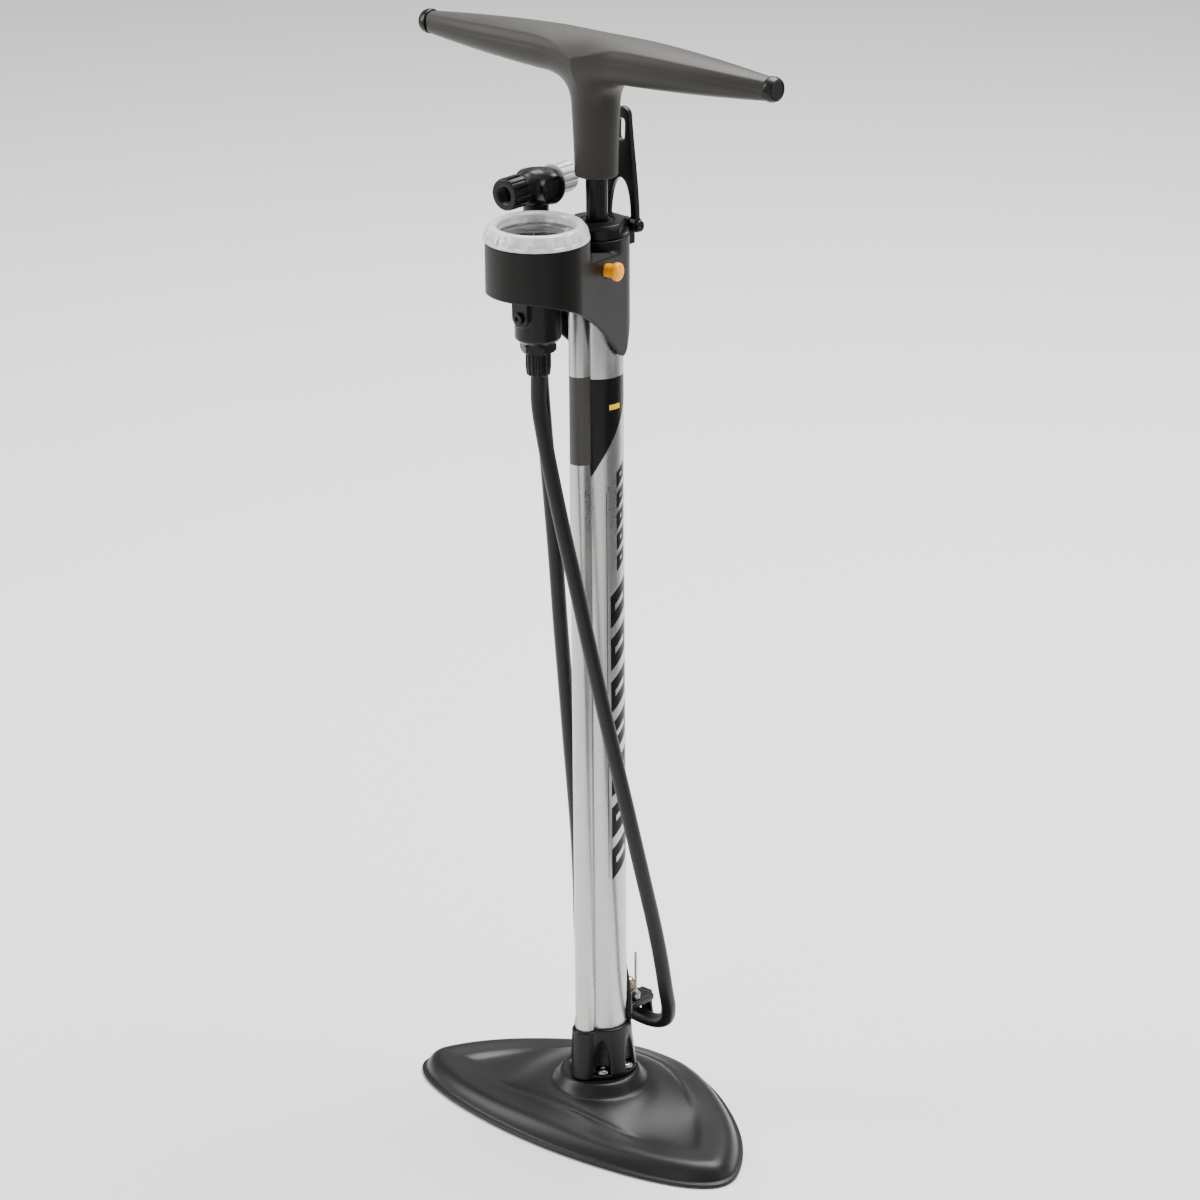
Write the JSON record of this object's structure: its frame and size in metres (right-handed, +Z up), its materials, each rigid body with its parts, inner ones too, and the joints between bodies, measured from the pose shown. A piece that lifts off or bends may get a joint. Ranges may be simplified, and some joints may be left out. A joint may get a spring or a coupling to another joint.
{
  "type": "floor bike pump",
  "caption": "Upright floor pump with a T handle, gauge cup, twin-bore barrel, shield-shaped foot and a hose stored around the barrel.",
  "frame": {"origin": "on the floor, under the middle of the footprint", "axes": "+Z up along the barrel, +X along the handle, -Y towards the gauge"},
  "size_m": [0.25, 0.143, 0.6538],
  "materials": {
    "foot_paint": "satin powder coat",
    "rubber": "matt",
    "black_plastic": "satin moulded",
    "handle_plastic": "satin moulded",
    "silver_aluminium": "satin anodised",
    "rod_black": "smooth black",
    "steel": "plated",
    "chrome": "polished",
    "brass": "machined",
    "pale_grey": "satin moulded",
    "amber": "glossy",
    "clear": "clear moulded plastic",
    "dial_print": "printed"
  },
  "bodies": {
    "pump_body": {"base_plate": "foot_paint", "foot_pad_left": "rubber", "foot_pad_right": "rubber", "foot_pad_rear": "rubber", "socket": "black_plastic", "barrel": "silver_aluminium", "bottom_plug": "black_plastic", "bottom_seal": "rubber", "check_spring": "steel", "barrel_cap": "black_plastic", "cap_wiper": "rubber", "rod_guide": "pale_grey", "upper_housing": "black_plastic", "button_spring": "steel", "gauge_case": "steel", "bourdon_tube": "brass", "gauge_stem": "brass", "movement_plate": "brass", "dial": "dial_print", "rim_ring": "chrome", "lens": "clear", "gauge_bezel": "clear", "hose_gland": "black_plastic", "gland_screw": "rod_black", "gland_nut": "black_plastic", "strain_relief": "black_plastic", "hose": "rubber", "head_ferrule": "black_plastic", "head_body": "black_plastic", "black_chuck_seal": "rubber", "grey_chuck_seal": "rubber", "latch_pin": "rod_black", "rear_clip": "black_plastic", "socket_bolt_1": "steel", "socket_bolt_2": "steel", "socket_bolt_3": "steel", "socket_bolt_4": "steel"},
    "piston_group": {"piston": "black_plastic", "piston_cup": "rubber", "bumper": "rubber"},
    "handle_group": {"piston_rod": "rod_black", "piston_nut": "steel", "handle": "handle_plastic", "handle_insert": "steel", "end_plug_left": "black_plastic", "end_plug_right": "black_plastic"},
    "latch_arm": {"latch": "black_plastic"},
    "button": {"release_button": "amber"},
    "pointer": {"needle": "amber", "pinion_spindle": "brass"},
    "sector": {"sector_gear": "brass"},
    "check_valve": {"check_ball": "rubber"},
    "black_chuck": {"black_chuck_collar": "black_plastic"},
    "grey_chuck": {"grey_chuck_collar": "pale_grey"},
    "spare_needle": {"ball_needle": "steel"},
    "spare_adapter": {"valve_adapter": "brass"}
  },
  "joints": [
    {"name": "pump_stroke", "type": "slide", "parent": "pump_body", "child": "piston_group", "axis": [0, 0, 1], "range_m": [0, 0.43]},
    {"name": "handle_turn", "type": "hinge", "parent": "piston_group", "child": "handle_group", "pos_m": [0, 0.0075, 0.6], "axis": [0, 0, 1], "continuous": true},
    {"name": "latch_swing", "type": "hinge", "parent": "pump_body", "child": "latch_arm", "pos_m": [0, 0.0282, 0.5425], "axis": [-1, 0, 0], "range_deg": [0, 100]},
    {"name": "button_press", "type": "slide", "parent": "pump_body", "child": "button", "axis": [-0.9786, -0.206, 0], "range_m": [0, 0.002], "stiffness_N_per_m": 400, "springref_m": -0.002, "deforming": ["button_spring"]},
    {"name": "sector_turn", "type": "hinge", "parent": "pump_body", "child": "sector", "pos_m": [0.007, -0.0425, 0.5385], "axis": [0, 0, 1], "range_deg": [0, 27]},
    {"name": "pointer_turn", "type": "hinge", "parent": "pump_body", "child": "pointer", "pos_m": [0, -0.0425, 0.5385], "axis": [0, 0, 1], "range_deg": [-270, 0]},
    {"name": "check_lift", "type": "slide", "parent": "pump_body", "child": "check_valve", "axis": [0, 0, -1], "range_m": [0, 0.0012], "stiffness_N_per_m": 8, "springref_m": -0.001, "deforming": ["check_spring"]},
    {"name": "black_chuck_turn", "type": "hinge", "parent": "pump_body", "child": "black_chuck", "pos_m": [-0.031, -0.0075, 0.566], "axis": [0, 1, 0], "range_deg": [0, 360]},
    {"name": "grey_chuck_turn", "type": "hinge", "parent": "pump_body", "child": "grey_chuck", "pos_m": [-0.031, -0.0075, 0.566], "axis": [0, 1, 0], "range_deg": [0, 360]},
    {"name": "needle_lift", "type": "slide", "parent": "pump_body", "child": "spare_needle", "axis": [0, 0, 1], "range_m": [0, 0.04]},
    {"name": "adapter_lift", "type": "slide", "parent": "pump_body", "child": "spare_adapter", "axis": [0, 0, 1], "range_m": [0, 0.02]}
  ],
  "couplings": [
    {"joint": "pointer_turn", "follows": "sector_turn", "ratio": -10}
  ]
}
